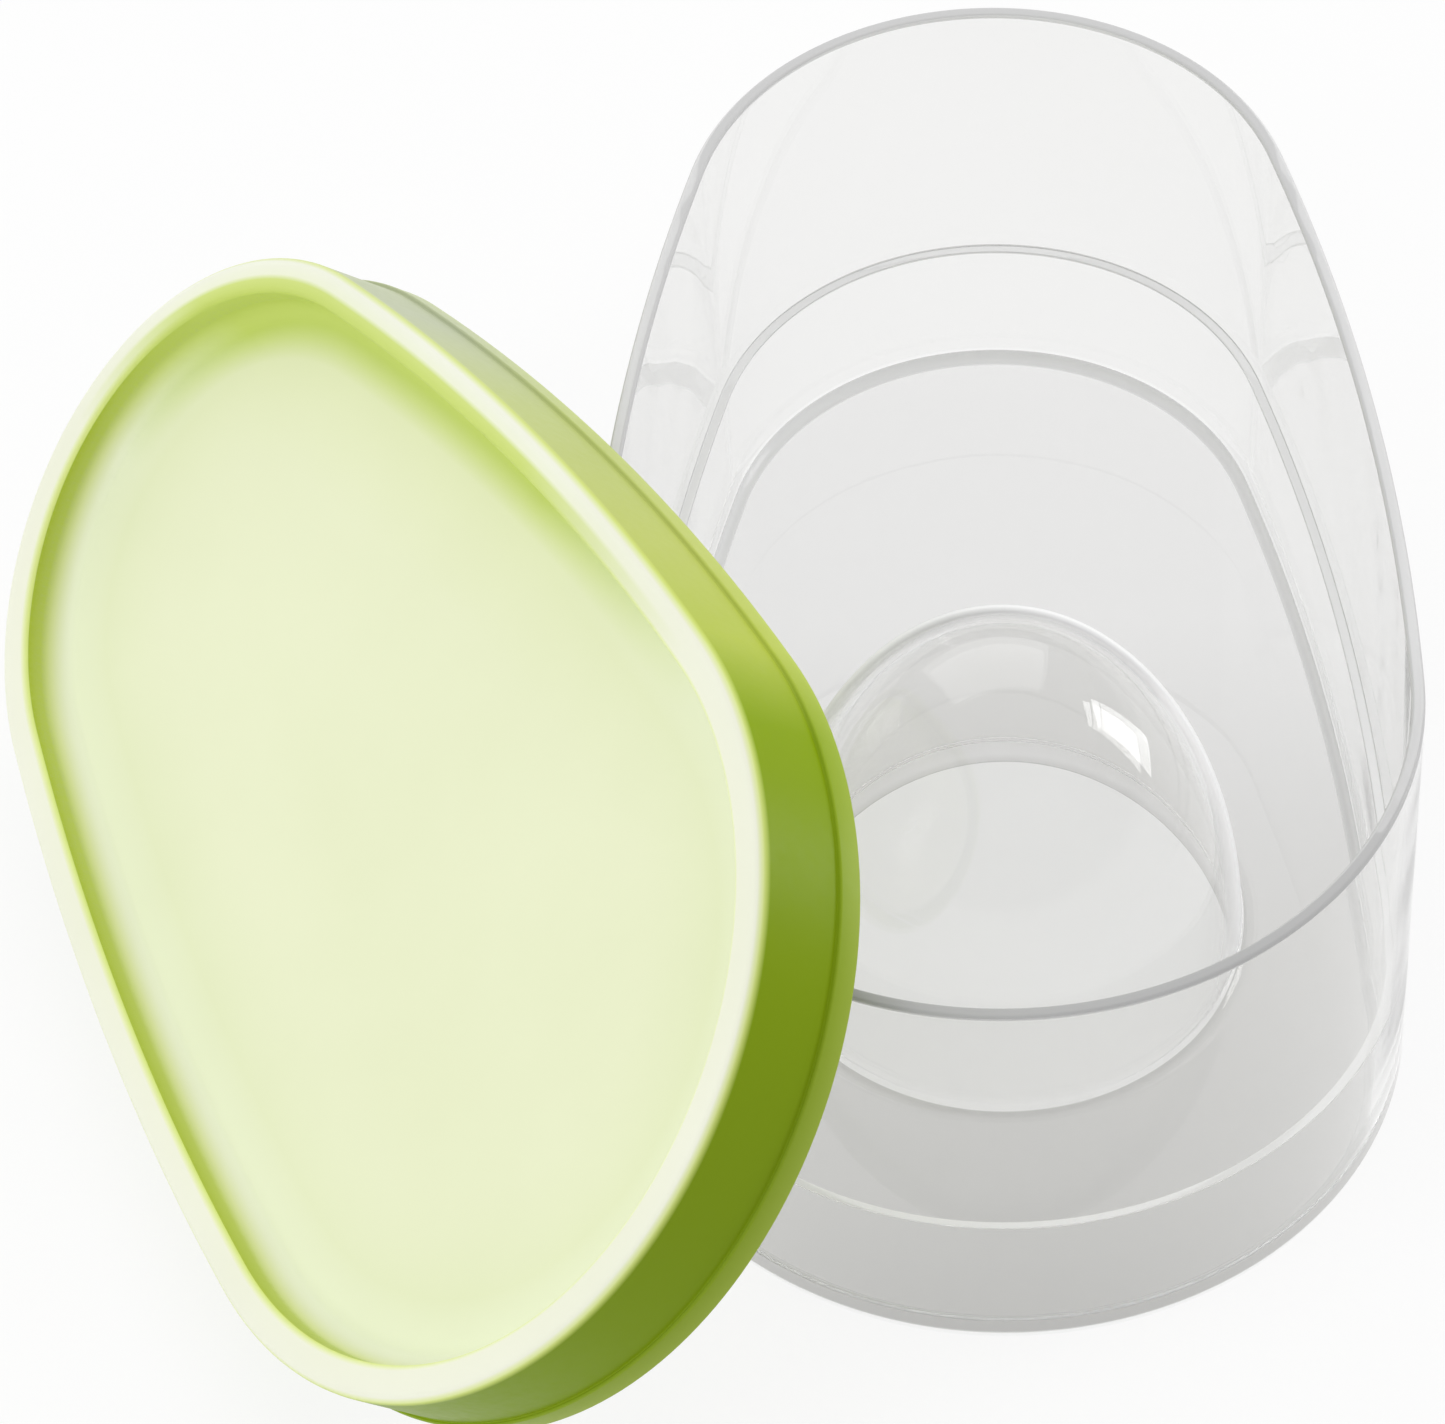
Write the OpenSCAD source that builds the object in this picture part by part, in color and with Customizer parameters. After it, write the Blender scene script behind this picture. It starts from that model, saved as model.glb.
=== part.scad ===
// A keeper for half an avocado: a deep clear tub with the outline of the fruit,
// a stone-shaped dome standing on its floor, and a green snap lid.
// The tub stands on its foot. The lid is off and stands on its long edge, leaning on the tub's rim.
// Both are moulded in one piece each. The fat end points to -Y and the tip to +Y.

/* [Outline] */
// Radius of the fat end, outside
fat_r = 42; // [36:0.5:50]
// Radius of the tip, outside
tip_r = 32.5; // [26:0.5:35]
// Distance between the centres of the two ends
span = 67; // [50:1:80]
// Radius of the two long flanks
flank_r = 290; // [180:5:400]

/* [Tub] */
// Height of the tub
tub_h = 53; // [50:0.5:80]
// Thickness of the tub's wall above the ledge
wall = 1.4; // [1:0.1:2.4]
// Thickness of the floor
floor_t = 2; // [1.4:0.1:3]
// How far the foot lies inside the rim
draft = 0.8; // [0:0.1:2]
// Rounding of the foot's outer edge
foot_round = 2.4; // [1:0.1:4]
// Rounding of the rim's two edges
rim_round = 0.4; // [0.2:0.05:0.45]
// Height of the ledge inside the tub
ledge_z = 18.5; // [12:0.5:26]
// Width of the ledge
ledge_w = 1; // [0.6:0.1:2]
// Fillet between the wall and the floor, inside
floor_fillet = 1.2; // [0.5:0.1:3]

/* [Stone dome] */
// Radius of the dome at its foot
dome_r = 25; // [18:0.5:28]
// Height of the dome above the floor
dome_h = 41; // [20:0.5:42]
// Distance of the dome's axis from the centre of the fat end
dome_shift = 13.5; // [6:0.5:20]
// Fillet round the foot of the dome
dome_fillet = 1.8; // [0.5:0.1:4]

/* [Lid] */
// Height of the lid
lid_h = 13; // [11:0.5:18]
// Thickness of the skirt and of the top of the rim
lid_skin = 1.2; // [0.8:0.1:1.8]
// Thickness of the sunk panel and its wall
panel_t = 1; // [0.8:0.1:1.6]
// Depth of the sunk panel below the top of the rim
sink = 5.2; // [3:0.1:7]
// Clearance on each side of the tub's wall in the lid's groove
groove_gap = 0.15; // [0.1:0.05:0.3]
// Rounding of the rim's outer top edge
lid_round = 1; // [0.5:0.1:1.2]
// Fillet between the sunk wall and the panel
panel_fillet = 2.2; // [1:0.1:2.6]
// Height of the lip round the open edge
lip_h = 2.8; // [1.5:0.1:4]
// How far the lip stands out from the skirt
lip_out = 0.45; // [0.2:0.05:1]
// Depth of the bead in the skirt that grips the tub's rim
bead = 0.1; // [0.05:0.01:0.14]

/* [Leaning lid] */
// Lean of the lid away from level
lean = 48; // [40:1:58]
// Turn of the lid towards the fat end of the tub
turn = 20; // [8:1:28]
// Roll of the lid along its long edge
roll = 7; // [2:0.5:12]
// Place of the centre of the lid's tip along the tub
along = -31.9; // [-45:0.1:-15]
// Clearance between the tub's rim and the panel that leans on it
lean_gap = 0.25; // [0.1:0.05:0.4]

/* [Hidden] */
// Steps round each arc of the outline
FAT_STEPS = 24;
TIP_STEPS = 20;
FLANK_STEPS = 8;
// Steps on a quarter of a rounding, and on the dome's section
ROUND_STEPS = 4;
DOME_STEPS = 12;
// The dome's last ring stands this many degrees below its peak
PEAK = 1;

// Centres of the end arcs, on the Y axis
fat_y = -span;
tip_y = 0;
// The flank's centre lies at (-flank_x, flank_y) for the flank on the +X side. It is found from its
// distances to the two end centres, so that all four arcs are tangent where they meet.
to_fat = flank_r - fat_r;
to_tip = flank_r - tip_r;
flank_up = (to_fat * to_fat - to_tip * to_tip + span * span) / (2 * span);
flank_x = sqrt(to_fat * to_fat - flank_up * flank_up);
flank_y = fat_y + flank_up;
// Directions, from the flank's centre, in which the flank starts and ends
flank_from = atan2(fat_y - flank_y, flank_x);
flank_to = atan2(tip_y - flank_y, flank_x);

// Inner faces of the tub, as distances inside the outline at the rim
ledge_in = wall + draft * (1 - ledge_z / tub_h);
lower_in = ledge_in + ledge_w;
floor_in = lower_in + draft * ledge_z / tub_h;

// The dome's axis, its inner hollow, and the direction in which its fillet runs out
dome_y = fat_y + dome_shift;
hollow_r = dome_r - wall;
hollow_h = dome_h + floor_t - wall;
dome_from = asin(dome_fillet / dome_h);

// The lid's faces, as distances outside the outline at the rim
skirt_in = groove_gap;
skirt_out = groove_gap + lid_skin;
plug_out = -wall - groove_gap;
sunk_edge = plug_out - panel_t;
lip_edge = skirt_out + lip_out;
lip_round = 0.3;
edge_round = 0.6;
panel_under = sink + panel_t;
bead_r = 0.9;
bead_turn = acos(1 - bead / bead_r);
bead_z = lid_skin + 1.6;

// The columns that run round the outline, each with the centre, radius and direction of its arc
function columns(x, y, r, from, to, steps) =
    [for (i = [0 : steps - 1]) [x, y, r, from + (to - from) * i / steps]];
COLUMNS = concat(
    columns(0, fat_y, fat_r, 180 - flank_from, 360 + flank_from, FAT_STEPS),
    columns(-flank_x, flank_y, flank_r, flank_from, flank_to, FLANK_STEPS),
    columns(0, tip_y, tip_r, flank_to, 180 - flank_to, TIP_STEPS),
    columns(flank_x, flank_y, flank_r, 180 - flank_to, 180 - flank_from, FLANK_STEPS));

// One ring of points that follows the outline, p[0] outside it and at height p[1]
function egg_ring(p) =
    [for (c = COLUMNS) [c[0] + (c[2] + p[0]) * cos(c[3]), c[1] + (c[2] + p[0]) * sin(c[3]), p[1]]];

// One round ring about the dome's axis, of radius p[0] and at height p[1]
function dome_ring(p) =
    [for (c = COLUMNS) [p[0] * cos(c[3]), dome_y + p[0] * sin(c[3]), p[1]]];

// Points on an arc in the plane of a section
function arc(x, z, r, from, to) =
    [for (i = [0 : ROUND_STEPS]) let (a = from + (to - from) * i / ROUND_STEPS)
        [x + r * cos(a), z + r * sin(a)]];

// Points on an ellipse's quarter, which stands on height z
function dome_arc(r, h, z, from, to) =
    [for (i = [0 : DOME_STEPS]) let (a = from + (to - from) * i / DOME_STEPS)
        [r * cos(a), z + h * sin(a)]];

// Section of the dome's hollow, from its peak down to the foot
hollow_section = dome_arc(hollow_r, hollow_h, 0, 90 - PEAK, 0);

// Section of the tub's wall, from the foot over the rim to the floor
wall_section = concat(
    arc(-draft - foot_round, foot_round, foot_round, -90, 0),
    arc(-rim_round, tub_h - rim_round, rim_round, 0, 90),
    arc(-wall + rim_round, tub_h - rim_round, rim_round, 90, 180),
    [[-ledge_in, ledge_z], [-lower_in, ledge_z]],
    arc(-floor_in - floor_fillet, floor_t + floor_fillet, floor_fillet, 0, -90));

// Section of the dome's outside, from the floor up to its peak
dome_section = concat(
    arc(dome_r + dome_fillet, floor_t + dome_fillet, dome_fillet, 270, 180),
    dome_arc(dome_r, dome_h, floor_t, dome_from + (90 - PEAK - dome_from) / DOME_STEPS, 90 - PEAK));

// Section of the lid with its rim's top at height 0: panel, groove for the tub's wall, skirt with its
// bead, lip, rim, sunk wall, and the panel again from above
lid_section = concat(
    [[plug_out, -panel_under], [plug_out, -lid_skin], [skirt_in, -lid_skin]],
    arc(skirt_in + bead_r - bead, -bead_z - bead_r, bead_r, 180 - bead_turn, 180 + bead_turn),
    [[skirt_in, -lid_h]],
    arc(lip_edge - lip_round, -lid_h + lip_round, lip_round, -90, 0),
    arc(lip_edge - lip_round, -lid_h + lip_h - lip_round, lip_round, 0, 90),
    [[skirt_out, -lid_h + lip_h]],
    arc(skirt_out - lid_round, -lid_round, lid_round, 0, 90),
    arc(sunk_edge + edge_round, -edge_round, edge_round, 90, 180),
    arc(sunk_edge - panel_fillet, -sink + panel_fillet, panel_fillet, 0, -90));

// A solid through rings of points. The rings run from the middle of its underside, round its outer
// edge, to the middle of its top. The first and the last ring are closed by flat faces.
module skin(rings) {
    n = len(COLUMNS);
    last = len(rings) - 1;
    low = [for (i = [0 : n - 1]) i];
    high = [for (i = [0 : n - 1]) last * n + n - 1 - i];
    sides = [for (j = [0 : last - 1]) for (i = [0 : n - 1])
        let (a = j * n + i, b = j * n + (i + 1) % n)
        each [[a, a + n, b + n], [a, b + n, b]]];
    polyhedron([for (ring = rings) each ring], concat([low], sides, [high]), convexity = 10);
}

// The clear tub
module tub() {
    color([0.93, 0.94, 0.95, 0.35])
        skin(concat(
            [for (p = hollow_section) dome_ring(p)],
            [for (p = wall_section) egg_ring(p)],
            [for (p = dome_section) dome_ring(p)]));
}

// How far the outline reaches in a direction that points t degrees above the X axis
function reach(t) =
    t < flank_from ? fat_r + fat_y * sin(t) :
    t > flank_to ? tip_r + tip_y * sin(t) :
    flank_r - flank_x * cos(t) + flank_y * sin(t);

// Height of the lid's own origin, at the centre of its tip, when its lip rests on the table
lid_z = sin(lean) * (reach(roll) + lip_edge - lip_round) + cos(lean) * (lid_h - lip_round) + lip_round;
// Distance of the panel's underside from the tub's origin, when the tub's rim touches it from below
lid_plane = panel_under + lean_gap + rim_round
    + sin(lean) * (reach(-turn) - rim_round) + cos(lean) * (tub_h - rim_round);
lid_x = -(lid_plane - cos(lean) * lid_z + sin(lean) * sin(turn) * along) / (sin(lean) * cos(turn));

// The green lid, leaning on the tub's rim with its long edge on the table
module lid() {
    color([0.62, 0.75, 0.16])
        translate([lid_x, along, lid_z])
            rotate([0, 0, turn])
                rotate([0, -lean, 0])
                    rotate([0, 0, roll])
                        skin([for (p = lid_section) egg_ring(p)]);
}

tub();
lid();
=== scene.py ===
"""A clear avocado tub with a stone dome, and its lime lid leaning on the rim, on a white table."""

import bpy
import math
from mathutils import Matrix, Vector


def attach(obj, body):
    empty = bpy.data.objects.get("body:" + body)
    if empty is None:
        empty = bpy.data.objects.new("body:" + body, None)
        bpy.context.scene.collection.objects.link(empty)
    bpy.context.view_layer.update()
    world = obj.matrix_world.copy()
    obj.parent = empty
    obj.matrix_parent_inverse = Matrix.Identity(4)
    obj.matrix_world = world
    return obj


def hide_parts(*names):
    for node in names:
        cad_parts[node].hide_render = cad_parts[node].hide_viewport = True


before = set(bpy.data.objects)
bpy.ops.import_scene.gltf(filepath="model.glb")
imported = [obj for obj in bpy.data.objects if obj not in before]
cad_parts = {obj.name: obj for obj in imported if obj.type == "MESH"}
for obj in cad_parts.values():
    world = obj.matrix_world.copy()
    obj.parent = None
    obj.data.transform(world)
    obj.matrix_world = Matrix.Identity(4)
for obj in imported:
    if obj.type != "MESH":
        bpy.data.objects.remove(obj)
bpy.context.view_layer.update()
MM = 0.001

# Sizes in millimetres, as in the part's source
FAT_R, TIP_R, SPAN, FLANK_R = 42.0, 32.5, 67.0, 290.0
TUB_H, WALL, FLOOR_T, DRAFT = 53.0, 1.4, 2.0, 0.8
FOOT_ROUND, RIM_ROUND = 2.4, 0.4
LEDGE_Z, LEDGE_W, FLOOR_FILLET = 18.5, 1.0, 1.2
DOME_R, DOME_H, DOME_SHIFT, DOME_FILLET = 25.0, 41.0, 13.5, 1.8
LID_H, LID_SKIN, PANEL_T, SINK = 13.0, 1.2, 1.0, 5.2
GROOVE_GAP, LID_ROUND, PANEL_FILLET = 0.15, 1.0, 2.2
LIP_H, LIP_OUT, LIP_ROUND = 2.8, 0.45, 0.3
EDGE_ROUND, BEAD, BEAD_R, BEAD_DROP = 0.6, 0.1, 0.9, 1.6
LEAN, TURN, ROLL, ALONG, LEAN_GAP = 48.0, 20.0, 7.0, -31.9, 0.25

# The smooth meshes: steps round the outline, and along the sections
FAT_STEPS, TIP_STEPS, FLANK_STEPS = 96, 80, 32
ARC_STEPS, CORNER_STEPS, BEAD_STEPS, FILLET_STEPS = 8, 4, 6, 12
DOME_STEPS, PANEL_STEPS, SKIRT_STEPS = 40, 14, 8
# Degrees between the dome's last ring and its peak, and between its fillet and its first ring
PEAK, DOME_JOIN = 1.0, 2.0
# Radius of the roundings that only the scene has
CORNER = 0.15
# Radius of the lid's innermost ring about the centre of its tip
PANEL_LEAST = 3.0
# A straight run longer than LONG_RUN gets a point HOLD away from each of its ends
LONG_RUN, HOLD = 0.8, 0.1
# Slack for comparing a point of a section with a height or a distance
NEAR = 0.01
# How far the marked parts of the tub let the table show, or are frosted
FOOT_OPEN, RIM_FROST, LEDGE_FROST, FILLET_FROST = 0.95, 0.85, 0.7, 0.6

# The outline: four tangent arcs, found as in the part's source
FAT_Y = -SPAN
TO_FAT, TO_TIP = FLANK_R - FAT_R, FLANK_R - TIP_R
FLANK_UP = (TO_FAT**2 - TO_TIP**2 + SPAN**2) / (2 * SPAN)
FLANK_X = math.sqrt(TO_FAT**2 - FLANK_UP**2)
FLANK_Y = FAT_Y + FLANK_UP
FLANK_FROM = math.degrees(math.atan2(FAT_Y - FLANK_Y, FLANK_X))
FLANK_TO = math.degrees(math.atan2(-FLANK_Y, FLANK_X))


def columns(x, y, r, start, end, steps):
    """The columns of one arc of the outline, each with the arc's centre, its radius and a direction."""
    return [(x, y, r, math.radians(start + (end - start) * i / steps)) for i in range(steps)]


COLUMNS = (
    columns(0, FAT_Y, FAT_R, 180 - FLANK_FROM, 360 + FLANK_FROM, FAT_STEPS)
    + columns(-FLANK_X, FLANK_Y, FLANK_R, FLANK_FROM, FLANK_TO, FLANK_STEPS)
    + columns(0, 0, TIP_R, FLANK_TO, 180 - FLANK_TO, TIP_STEPS)
    + columns(FLANK_X, FLANK_Y, FLANK_R, 180 - FLANK_TO, 180 - FLANK_FROM, FLANK_STEPS)
)
DOME_Y = FAT_Y + DOME_SHIFT


def egg_ring(out, z):
    """Points round the outline, out millimetres outside it."""
    return [(x + (r + out) * math.cos(a), y + (r + out) * math.sin(a), z) for x, y, r, a in COLUMNS]


def dome_ring(radius, z):
    """Points round the dome's axis."""
    return [(radius * math.cos(a), DOME_Y + radius * math.sin(a), z) for _, _, _, a in COLUMNS]


def arc(x, z, r, start, end, steps=ARC_STEPS):
    """Points on an arc in the plane of a section."""
    turns = [math.radians(start + (end - start) * i / steps) for i in range(steps + 1)]
    return [(x + r * math.cos(t), z + r * math.sin(t)) for t in turns]


def corner(x, z, start, end):
    """A small rounding of an edge that is sharp in the solids."""
    return arc(x, z, CORNER, start, end, CORNER_STEPS)


def dome_arc(r, h, z, start, end):
    """Points on an ellipse's quarter, which stands on height z."""
    turns = [math.radians(start + (end - start) * i / DOME_STEPS) for i in range(DOME_STEPS + 1)]
    return [(r * math.cos(t), z + h * math.sin(t)) for t in turns]


def between(a, b, steps):
    """Points between two points of a section, both ends left out."""
    return [(a[0] + (b[0] - a[0]) * i / steps, a[1] + (b[1] - a[1]) * i / steps) for i in range(1, steps)]


def held(section):
    """The section with a point close to each end of its long runs, which keeps smooth shading true there."""
    out = []
    for a, b in zip(section, section[1:]):
        out.append(a)
        length = math.dist(a, b)
        if length > LONG_RUN:
            for t in (HOLD / length, 1 - HOLD / length):
                out.append(tuple(p + (q - p) * t for p, q in zip(a, b)))
    return out + [section[-1]]


def skin(name, rings, **marks):
    """A closed smooth mesh through rings of points. A mark is a value for each ring, for the materials."""
    n = len(COLUMNS)
    points = [tuple(c * MM for c in p) for ring in rings for p in ring]
    faces = [list(range(n))[::-1]]
    for j in range(len(rings) - 1):
        for i in range(n):
            a, b = j * n + i, j * n + (i + 1) % n
            faces.append([a, b, b + n, a + n])
    top = (len(rings) - 1) * n
    faces.append([top + i for i in range(n)])
    mesh = bpy.data.meshes.new(name)
    mesh.from_pydata(points, [], faces)
    mesh.validate()
    for mark, values in marks.items():
        kept = mesh.attributes.new(mark, "FLOAT", "POINT")
        kept.data.foreach_set("value", [v for v in values for _ in range(n)])
    own = mesh.attributes.new("own", "FLOAT_VECTOR", "POINT")
    own.data.foreach_set("vector", [c for p in points for c in p])
    mesh.shade_smooth()
    made = bpy.data.objects.new(name, mesh)
    bpy.context.scene.collection.objects.link(made)
    return made


# The clear tub
LEDGE_IN = WALL + DRAFT * (1 - LEDGE_Z / TUB_H)
LOWER_IN = LEDGE_IN + LEDGE_W
FLOOR_IN = LOWER_IN + DRAFT * LEDGE_Z / TUB_H
HOLLOW_R, HOLLOW_H = DOME_R - WALL, DOME_H + FLOOR_T - WALL
DOME_FROM = math.degrees(math.asin(DOME_FILLET / DOME_H)) + DOME_JOIN


def open_mark(p):
    """How open the foot's underside and rounded edge are, where the table shows through with no dark line."""
    return FOOT_OPEN if p[1] < FOOT_ROUND - NEAR and p[0] > -DRAFT - FOOT_ROUND - HOLD - NEAR else 0.0


def hollow_mark(p):
    """The same at the edge of the dome's hollow."""
    return FOOT_OPEN if p[1] < FOOT_ROUND else 0.0


def frost_mark(p):
    """How frosted the wall is at a point: the rim, the ledge's corners and the floor's fillet."""
    if p[1] > TUB_H - RIM_ROUND - NEAR:
        return RIM_FROST
    if abs(p[1] - LEDGE_Z) < CORNER + NEAR and -LOWER_IN - NEAR < p[0] < -LEDGE_IN + NEAR:
        return LEDGE_FROST
    if FLOOR_T + NEAR < p[1] < FLOOR_T + FLOOR_FILLET + NEAR and p[0] < -FLOOR_IN + NEAR:
        return FILLET_FROST
    return 0.0


wall = held(
    arc(-DRAFT - FOOT_ROUND, FOOT_ROUND, FOOT_ROUND, -90, 0, FILLET_STEPS)
    + arc(-RIM_ROUND, TUB_H - RIM_ROUND, RIM_ROUND, 0, 90)
    + arc(-WALL + RIM_ROUND, TUB_H - RIM_ROUND, RIM_ROUND, 90, 180)
    + corner(-LEDGE_IN - CORNER, LEDGE_Z + CORNER, 0, -90)
    + corner(-LOWER_IN + CORNER, LEDGE_Z - CORNER, 90, 180)
    + arc(-FLOOR_IN - FLOOR_FILLET, FLOOR_T + FLOOR_FILLET, FLOOR_FILLET, 0, -90)
)
wall = [(wall[0][0] - HOLD, 0)] + wall + [(wall[-1][0] - HOLD, FLOOR_T)]
dome = (
    [(DOME_R + DOME_FILLET + HOLD, FLOOR_T)]
    + arc(DOME_R + DOME_FILLET, FLOOR_T + DOME_FILLET, DOME_FILLET, 270, 180)
    + dome_arc(DOME_R, DOME_H, FLOOR_T, DOME_FROM, 90 - PEAK)
)
hollow = dome_arc(HOLLOW_R, HOLLOW_H, 0, 90 - PEAK, 0) + [(HOLLOW_R + HOLD, 0)]
tub = skin(
    "clear_tub",
    [dome_ring(*p) for p in hollow] + [egg_ring(*p) for p in wall] + [dome_ring(*p) for p in dome],
    opened=[hollow_mark(p) for p in hollow] + [open_mark(p) for p in wall] + [0.0] * len(dome),
    frost=[0.0] * len(hollow) + [frost_mark(p) for p in wall] + [0.0] * len(dome),
    # painted pale outline light on the dome, for the material
    bloom=[0.0] * (len(hollow) + len(wall)) + [1.0] * len(dome),
)

# The lime lid, made with the top of its rim at height 0 and then set leaning
SKIRT_IN, SKIRT_OUT = GROOVE_GAP, GROOVE_GAP + LID_SKIN
PLUG_OUT = -WALL - GROOVE_GAP
SUNK_EDGE = PLUG_OUT - PANEL_T
LIP_EDGE = SKIRT_OUT + LIP_OUT
PANEL_UNDER = SINK + PANEL_T
BEAD_Z = LID_SKIN + BEAD_DROP
BEAD_TURN = math.degrees(math.acos(1 - BEAD / BEAD_R))
panel_edge = (SUNK_EDGE - PANEL_FILLET, -SINK)
panel_mid = (PANEL_LEAST - TIP_R, -SINK)
under_mid = (panel_mid[0], -PANEL_UNDER)
section = held(
    [under_mid]
    + between(under_mid, (PLUG_OUT, -PANEL_UNDER), PANEL_STEPS)
    + corner(PLUG_OUT - CORNER, -PANEL_UNDER + CORNER, -90, 0)
    + corner(PLUG_OUT + CORNER, -LID_SKIN - CORNER, 180, 90)
    + corner(SKIRT_IN - CORNER, -LID_SKIN - CORNER, 90, 0)
    + arc(
        SKIRT_IN + BEAD_R - BEAD, -BEAD_Z - BEAD_R, BEAD_R, 180 - BEAD_TURN, 180 + BEAD_TURN, BEAD_STEPS
    )
    + corner(SKIRT_IN + CORNER, -LID_H + CORNER, 180, 270)
    + arc(LIP_EDGE - LIP_ROUND, -LID_H + LIP_ROUND, LIP_ROUND, -90, 0)
    + arc(LIP_EDGE - LIP_ROUND, -LID_H + LIP_H - LIP_ROUND, LIP_ROUND, 0, 90)
    + corner(SKIRT_OUT + CORNER, -LID_H + LIP_H + CORNER, 270, 180)
    + between((SKIRT_OUT, -LID_H + LIP_H), (SKIRT_OUT, -LID_ROUND), SKIRT_STEPS)
    + arc(SKIRT_OUT - LID_ROUND, -LID_ROUND, LID_ROUND, 0, 90)
    + arc(SUNK_EDGE + EDGE_ROUND, -EDGE_ROUND, EDGE_ROUND, 90, 180)
    + arc(SUNK_EDGE - PANEL_FILLET, -SINK + PANEL_FILLET, PANEL_FILLET, 0, -90, FILLET_STEPS)
    + between(panel_edge, panel_mid, PANEL_STEPS)
    + [panel_mid]
)
lid = skin("lime_lid", [egg_ring(*p) for p in section], inset=[-p[0] for p in section])


def reach(turn):
    """How far the outline reaches in a direction, in degrees above the X axis."""
    t = math.radians(turn)
    if turn < FLANK_FROM:
        return FAT_R + FAT_Y * math.sin(t)
    if turn > FLANK_TO:
        return TIP_R
    return FLANK_R - FLANK_X * math.cos(t) + FLANK_Y * math.sin(t)


SIN_LEAN, COS_LEAN = math.sin(math.radians(LEAN)), math.cos(math.radians(LEAN))
SIN_TURN, COS_TURN = math.sin(math.radians(TURN)), math.cos(math.radians(TURN))
lid_z = SIN_LEAN * (reach(ROLL) + LIP_EDGE - LIP_ROUND) + COS_LEAN * (LID_H - LIP_ROUND) + LIP_ROUND
lid_plane = (
    PANEL_UNDER + LEAN_GAP + RIM_ROUND
    + SIN_LEAN * (reach(-TURN) - RIM_ROUND) + COS_LEAN * (TUB_H - RIM_ROUND)
)
lid_x = -(lid_plane - COS_LEAN * lid_z + SIN_LEAN * SIN_TURN * ALONG) / (SIN_LEAN * COS_TURN)
lid.data.transform(
    Matrix.Translation(Vector((lid_x, ALONG, lid_z)) * MM)
    @ Matrix.Rotation(math.radians(TURN), 4, "Z")
    @ Matrix.Rotation(math.radians(-LEAN), 4, "Y")
    @ Matrix.Rotation(math.radians(ROLL), 4, "Z")
)

for piece, node, kind in ((tub, "tub", "clear_plastic"), (lid, "lid", "green_plastic")):
    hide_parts(node)
    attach(piece, "root")


# Materials
def linear(r, g, b):
    """A linear colour from an sRGB one, which is given as 0 to 255."""
    return (*((v / 255 / 12.92) if v < 10.3 else ((v / 255 + 0.055) / 1.055) ** 2.4 for v in (r, g, b)), 1)


def grey(value):
    return (value, value, value, 1)


class Nodes:
    """A material's node tree, with short calls to add and link its nodes."""

    def __init__(self, name):
        self.material = bpy.data.materials.new(name)
        self.material.use_nodes = True
        self.tree = self.material.node_tree
        self.tree.nodes.clear()

    def add(self, kind, inputs=(), **settings):
        node = self.tree.nodes.new(kind)
        for key, value in settings.items():
            setattr(node, key, value)
        for key, value in dict(inputs).items():
            self.put(node.inputs[key], value)
        return node

    def put(self, socket, value):
        if isinstance(value, bpy.types.NodeSocket):
            self.tree.links.new(value, socket)
        else:
            socket.default_value = value

    def ramp(self, factor, *stops):
        """A colour ramp. Each stop is a place and a colour."""
        node = self.add("ShaderNodeValToRGB", {"Fac": factor})
        elements = node.color_ramp.elements
        while len(elements) < len(stops):
            elements.new(0.5)
        for element, (place, colour) in zip(elements, stops):
            element.position = place
            element.color = colour
        return node.outputs["Color"]

    def tones(self, factor, *stops):
        """A ramp. Each stop is a place and an sRGB colour's three numbers."""
        return self.ramp(factor, *((place, linear(*colour)) for place, *colour in stops))

    def greys(self, factor, *stops):
        """A ramp. Each stop is a place and a grey."""
        return self.ramp(factor, *((place, grey(value)) for place, value in stops))

    def math(self, kind, *values):
        node = self.add("ShaderNodeMath", operation=kind)
        for i, value in enumerate(values):
            self.put(node.inputs[i], value)
        return node.outputs[0]

    def share(self, place, length, start=0.0):
        """A coordinate as a share of a length in millimetres, counted from start at the origin."""
        return self.math("MULTIPLY_ADD", place, 1 / (length * MM), start)

    def mix(self, factor, a, b, blend="MIX"):
        """Colour a where the factor is 0, and colour b where it is 1."""
        node = self.add("ShaderNodeMix", data_type="RGBA", blend_type=blend)
        self.put(node.inputs["Factor"], factor)
        self.put(node.inputs[6], a)
        self.put(node.inputs[7], b)
        return node.outputs[2]

    def mix_shaders(self, factor, a, b):
        node = self.add("ShaderNodeMixShader")
        for i, value in enumerate((factor, a.outputs[0], b.outputs[0])):
            self.put(node.inputs[i], value)
        return node

    def mark(self, name):
        """A mark that skin() wrote, as a number."""
        return self.add("ShaderNodeAttribute", attribute_name=name).outputs["Fac"]

    def noise(self, where, scale, detail, **inputs):
        node = self.add("ShaderNodeTexNoise", {"Vector": where, "Scale": scale, "Detail": detail, **inputs})
        return node.outputs["Fac"]

    def bump(self, height, strength, distance):
        node = self.add("ShaderNodeBump", {"Height": height, "Strength": strength, "Distance": distance})
        return node.outputs["Normal"]

    def finished(self, surface):
        self.add("ShaderNodeOutputMaterial", {"Surface": surface.outputs[0]})
        return self.material


EGG_LENGTH, EGG_WIDTH = SPAN + FAT_R + TIP_R, 2 * FAT_R
# Where the centre of the tip lies between the fat end, at 0, and the tip, at 1
TIP_PLACE = 0.77
# Shares of the tub's height: the frost above RIM_ABOVE is the rim's, and below FILLET_BELOW the fillet's
RIM_ABOVE, FILLET_BELOW = 0.6, 0.1
# Share of the sunk depth at which the lid's flat panel starts, and millimetres over which its tone runs
AT_PANEL, PANEL_RUN = 0.985, 20.0
RIM_W = SKIRT_OUT - SUNK_EDGE


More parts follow.
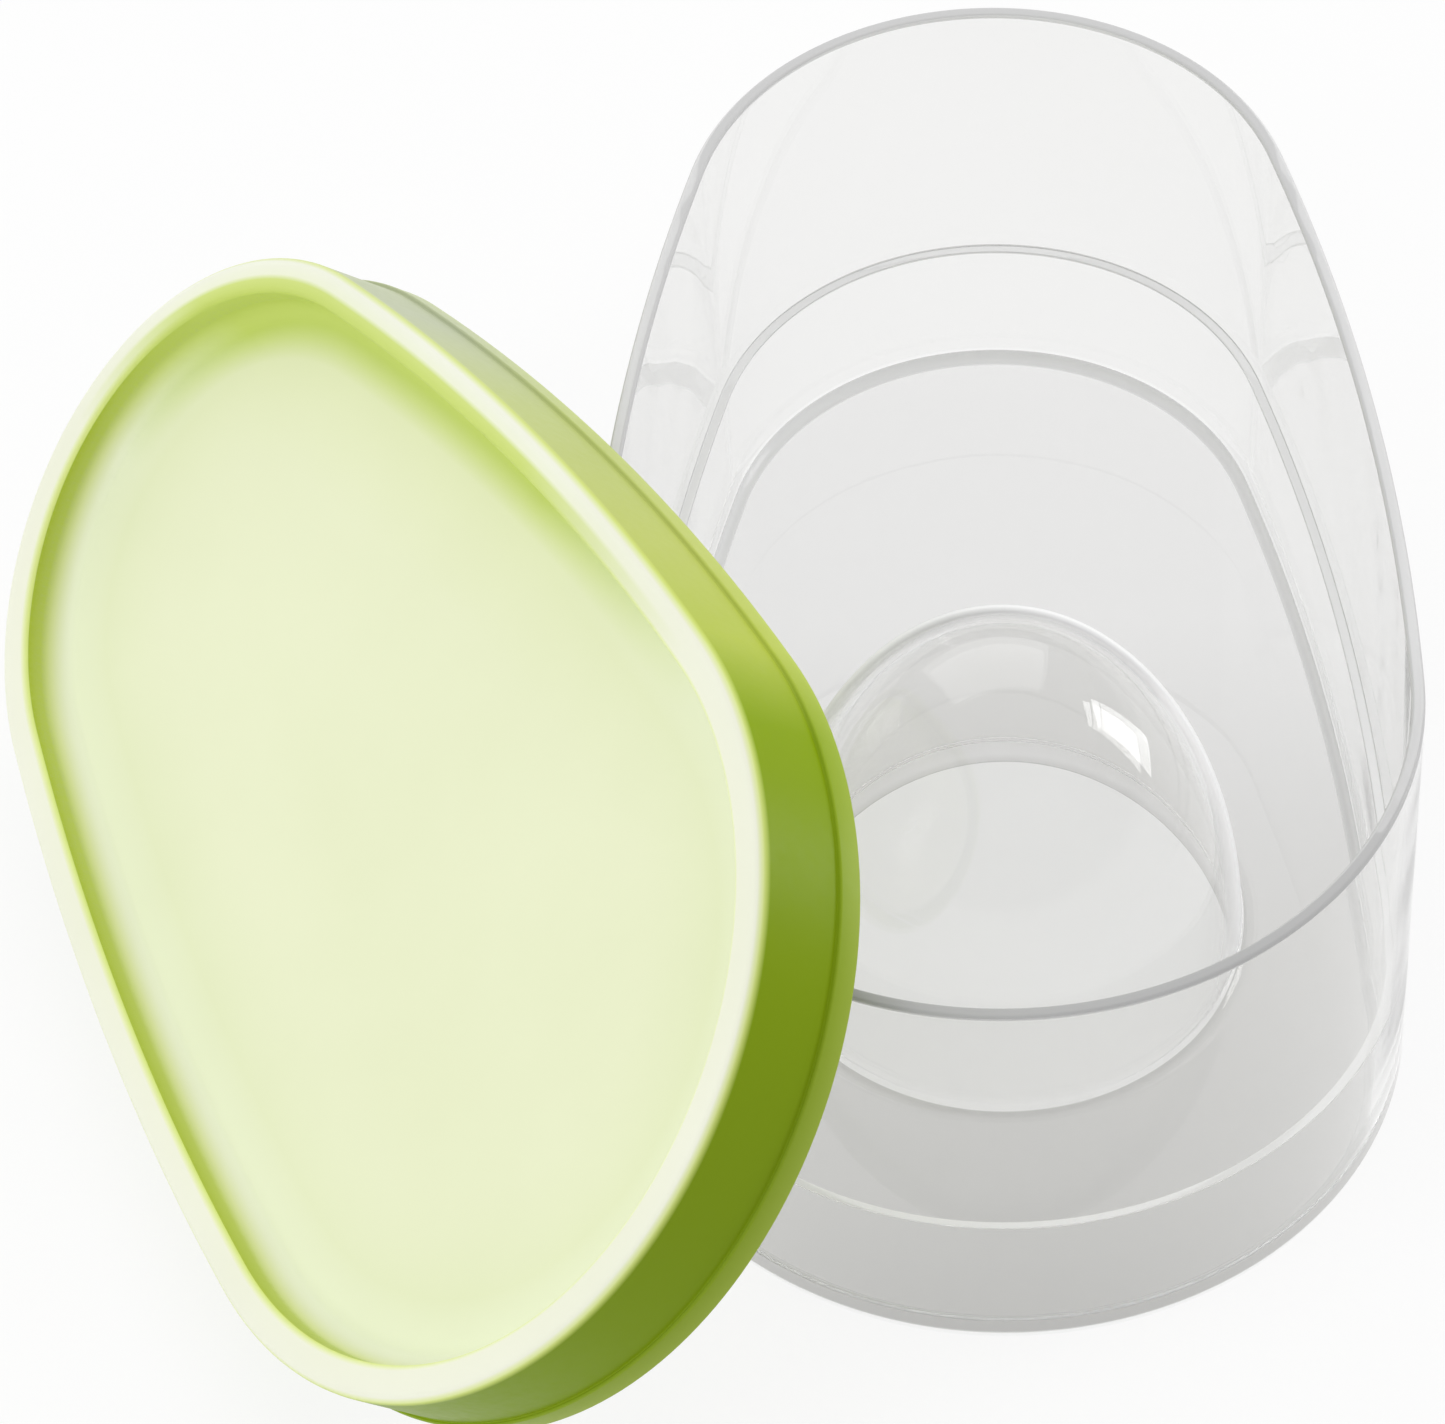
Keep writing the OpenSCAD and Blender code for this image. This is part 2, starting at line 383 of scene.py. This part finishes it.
def clear_plastic():
    """Clear moulded plastic, a little grey, with faint ripples and scuffs. Its marked parts are frosted, and
    the frost's tones hold painted light and shade; the dome's outline has a painted pale line and the foot's
    underside a painted shade.
    """
    m = Nodes("clear_plastic")
    where = m.add("ShaderNodeTexCoord").outputs["Object"]
    place = m.add("ShaderNodeSeparateXYZ", {"Vector": where}).outputs
    height = m.share(place["Z"], TUB_H)
    away = m.share(place["Y"], EGG_LENGTH, TIP_PLACE)
    bloom = m.mark("bloom")

    # Glass, rough only where the scuffs' noise peaks
    scuff = m.noise(where, 160.0, 2.0, Roughness=0.7)
    glass = m.add(
        "ShaderNodeBsdfPrincipled",
        {
            "Base Color": (0.918, 0.917, 0.91, 1),
            "Roughness": m.math("MAXIMUM", m.math("MULTIPLY_ADD", scuff, 0.6, -0.36), 0.0),
            "IOR": 1.46,
            "Transmission Weight": 1.0,
            "Normal": m.bump(m.noise(where, 45.0, 1.0), 0.08, 0.0008),
        },
    )

    # A plain filter for shadows and scattered light, and for the foot's underside a painted shade of the
    # table beneath the tub, darker towards the fat end
    path = m.add("ShaderNodeLightPath").outputs
    shadow = m.math("MAXIMUM", path["Is Shadow Ray"], path["Is Diffuse Ray"])
    painted_under_shade = m.ramp(
        away,
        (0.0, (0.49, 0.487, 0.475, 1)),
        (0.15, (0.6, 0.597, 0.585, 1)),
        (0.35, (0.68, 0.677, 0.665, 1)),
        (0.5, (0.74, 0.737, 0.73, 1)),
        (0.7, (0.85, 0.847, 0.845, 1)),
        (1.0, (0.88, 0.877, 0.875, 1)),
    )
    foot = m.mix(m.greys(height, (0.0, 0), (0.002, 1)), painted_under_shade, grey(1))
    through = m.add("ShaderNodeBsdfTransparent", {"Color": m.mix(shadow, foot, grey(0.92))})
    clear = m.mix_shaders(m.math("MAXIMUM", m.mark("opened"), shadow), glass, through)

    # Frost on the rim, the ledge and the floor's fillet, whose tones are painted light and shade: the rim
    # darker and the ledge brighter towards the fat end, and the fillet a painted grey shade; and a painted
    # pale line of light on the dome's outline
    rim = m.greys(away, (0.05, 0.58), (0.35, 0.74))
    ledge = m.greys(away, (0.2, 1.0), (0.6, 0.82))
    pale = m.mix(m.math("GREATER_THAN", height, RIM_ABOVE), ledge, rim)
    pale = m.mix(m.math("LESS_THAN", height, FILLET_BELOW), pale, grey(0.7))
    frost_and_painted_light = m.add("ShaderNodeBsdfDiffuse", {"Color": m.mix(bloom, pale, grey(1))})
    # Painted light: the dome's outline turns pale white where it is seen at a grazing angle, mixed in with
    # the frost
    facing = m.add("ShaderNodeLayerWeight", {"Blend": 0.5}).outputs["Facing"]
    grazing = m.math("MULTIPLY", bloom, m.greys(facing, (0.62, 0), (0.88, 0.9)))
    frosted = m.math("MAXIMUM", m.mark("frost"), grazing)
    lit = m.math("SUBTRACT", 1.0, shadow)
    return m.finished(m.mix_shaders(m.math("MULTIPLY", frosted, lit), clear, frost_and_painted_light))


def lime_plastic():
    """Satin lime plastic whose colour is painted light and shade: tones of light that passes through its
    wall, panel and skirt, painted shade in the sunk wall and a band inside the rim, and a skirt painted
    darker towards the fat end.
    """
    m = Nodes("lime_plastic")
    where = m.add("ShaderNodeAttribute", attribute_name="own").outputs["Vector"]
    place = m.add("ShaderNodeSeparateXYZ", {"Vector": where}).outputs
    height = m.share(place["Z"], LID_H, 1.0)
    depth = m.share(place["Z"], -SINK)
    along = m.share(place["Y"], EGG_LENGTH, TIP_PLACE)
    across = m.share(place["X"], EGG_WIDTH, 0.5)
    inset = m.mark("inset")
    inward = m.math("DIVIDE", inset, PANEL_RUN)
    over = m.math("MULTIPLY_ADD", inset, 1 / RIM_W, SKIRT_OUT / RIM_W)

    # Painted shade: the side that leans up has a green band inside its rim
    painted_shade_band = m.math("MULTIPLY", m.greys(across, (0.45, 0), (0.7, 1)), m.greys(along, (0.3, 0), (0.55, 1)))

    # The sunk wall by depth, darkest green just below the rim as painted shade, and the panel by its distance
    # from the outline, both in painted tones of light through the plastic
    sunk = m.tones(
        depth,
        (0.0, 236, 240, 196),
        (0.12, 180, 198, 66),
        (0.45, 194, 210, 100),
        (0.72, 228, 236, 176),
        (0.93, 243, 248, 219),
        (1.0, 246, 251, 226),
    )
    flat = m.tones(
        inward,
        (0.0, 241, 247, 220),
        (0.24, 245, 250, 224),
        (0.5, 236, 242, 205),
        (1.0, 238, 243, 208),
    )
    green = m.tones(
        inward,
        (0.22, 204, 221, 116),
        (0.3, 218, 231, 150),
        (0.42, 236, 242, 200),
        (1.0, 238, 243, 208),
    )
    # On the band's side, the panel's edge and the sunk wall are painted a shaded green
    flat = m.mix(painted_shade_band, flat, green)
    sunk = m.mix(painted_shade_band, sunk, linear(203, 220, 114))
    panel = m.mix(m.math("GREATER_THAN", depth, AT_PANEL), sunk, flat)

    # The skirt from the fat end to the tip, painted darker at the fat end as shade and greyer towards the tip
    # as a painted reflection, paler on the lip, and the rim from its outer edge inwards
    side = m.tones(
        along,
        (0.0, 124, 150, 0),
        (0.22, 140, 168, 0),
        (0.31, 184, 200, 72),
        (0.43, 192, 204, 100),
        (0.62, 190, 202, 124),
        (0.78, 188, 196, 164),
        (1.0, 192, 202, 158),
    )
    white = m.tones(
        over,
        (0.0, 222, 236, 130),
        (0.14, 243, 245, 227),
        (0.84, 243, 245, 225),
        (1.0, 232, 244, 150),
    )
    rim_with_painted_shade = m.tones(
        over,
        (0.0, 222, 236, 130),
        (0.14, 245, 247, 232),
        (0.5, 243, 247, 222),
        (0.64, 214, 229, 136),
        (1.0, 202, 220, 112),
    )
    rise = m.greys(height, (0.0, 0.25), (0.2, 0.1), (0.22, 0), (0.9, 0), (0.965, 1))
    skirt = m.mix(rise, side, m.mix(painted_shade_band, white, rim_with_painted_shade))

    colour = m.mix(m.math("LESS_THAN", inset, -SUNK_EDGE), panel, skirt)
    cloud = m.ramp(m.noise(where, 35.0, 2.0), (0.3, (0.97, 0.975, 0.95, 1)), (0.7, grey(1)))
    grain = m.noise(where, 900.0, 3.0)
    body = m.add(
        "ShaderNodeBsdfPrincipled",
        {
            "Base Color": m.mix(1.0, colour, cloud, "MULTIPLY"),
            "Roughness": m.math("MULTIPLY_ADD", grain, 0.16, 0.3),
            "IOR": 1.48,
            "Specular IOR Level": 0.12,
            "Normal": m.bump(grain, 0.12, 0.0001),
        },
    )
    return m.finished(body)


def table_material():
    """A white table that shows as white to the eye, and a little darker inside the dome's hollow, where less
    white glow leaves a painted shade.
    """
    m = Nodes("white_table")
    where = m.add("ShaderNodeTexCoord").outputs["Object"]
    tone = m.greys(m.noise(where, 60.0, 1.0), (0.3, 0.93), (0.7, 0.945))
    body = m.add(
        "ShaderNodeBsdfPrincipled", {"Base Color": tone, "Roughness": 0.9, "Specular IOR Level": 0.1}
    )
    white = m.add("ShaderNodeEmission", {"Color": grey(1), "Strength": 1.0})
    path = m.add("ShaderNodeLightPath").outputs
    seen = m.math("MAXIMUM", path["Is Camera Ray"], path["Is Glossy Ray"])
    seen = m.math("MAXIMUM", seen, path["Is Transmission Ray"])
    # Painted shade: the white glow is weaker inside the dome's radius about its axis
    axis = (0, DOME_Y * MM, 0)
    apart = m.add("ShaderNodeVectorMath", {0: where, 1: axis}, operation="DISTANCE").outputs["Value"]
    share = m.greys(m.math("DIVIDE", apart, DOME_R * MM), (0.96, 0.54), (1.0, 0.84))
    return m.finished(m.mix_shaders(m.math("MULTIPLY", seen, share), body, white))


tub.data.materials.append(clear_plastic())
lid.data.materials.append(lime_plastic())

# The white table, a hair below the tub's foot
TABLE_HALF, TABLE_DROP = 3.0, 0.0002
corners = [(x * TABLE_HALF, y * TABLE_HALF, 0) for x, y in ((-1, -1), (1, -1), (1, 1), (-1, 1))]
table = bpy.data.meshes.new("table")
table.from_pydata(corners, [], [(0, 1, 2, 3)])
table.materials.append(table_material())
floor = bpy.data.objects.new("table", table)
floor.location.z = -TABLE_DROP
bpy.context.scene.collection.objects.link(floor)

# Light: a white sky, and three soft lamps
world = bpy.data.worlds.new("studio")
bpy.context.scene.world = world
world.use_nodes = True
sky = world.node_tree.nodes["Background"]
sky.inputs["Color"].default_value = grey(1)
sky.inputs["Strength"].default_value = 0.65
AIM = Vector((0, -0.04, 0.02))


def lamp(name, place, size, power):
    data = bpy.data.lights.new(name, "AREA")
    data.shape = "RECTANGLE"
    data.size, data.size_y = size
    data.energy = power
    made = bpy.data.objects.new(name, data)
    made.location = place
    made.rotation_mode = "QUATERNION"
    made.rotation_quaternion = (AIM - Vector(place)).to_track_quat("-Z", "Y")
    bpy.context.scene.collection.objects.link(made)


lamp("key_box", (-0.1, 0.62, 0.8), (1.3, 1.0), 3.6)
lamp("right_strip", (0.8, 0.22, 0.2), (0.24, 0.5), 2.1)
lamp("left_strip", (-0.62, -0.44, 0.36), (0.14, 0.5), 1.4)

# The camera, at the photograph's angle
camera = bpy.data.cameras.new("photo_camera")
camera.sensor_width = 36.0
camera.lens = 199.3
camera.clip_start, camera.clip_end = 0.01, 20.0
eye = bpy.data.objects.new("photo_camera", camera)
EYE = Vector((-6.69, -599.23, 646.91)) * MM
AHEAD = Vector((-0.02667, 0.66595, -0.74552)).normalized()
RIGHT = AHEAD.cross(Vector((0.02316, 0.746, 0.66554))).normalized()
UP = RIGHT.cross(AHEAD)
eye.matrix_world = Matrix.Translation(EYE) @ Matrix((RIGHT, UP, -AHEAD)).transposed().to_4x4()
bpy.context.scene.collection.objects.link(eye)
bpy.context.scene.camera = eye
bpy.context.scene.view_settings.view_transform = "Standard"
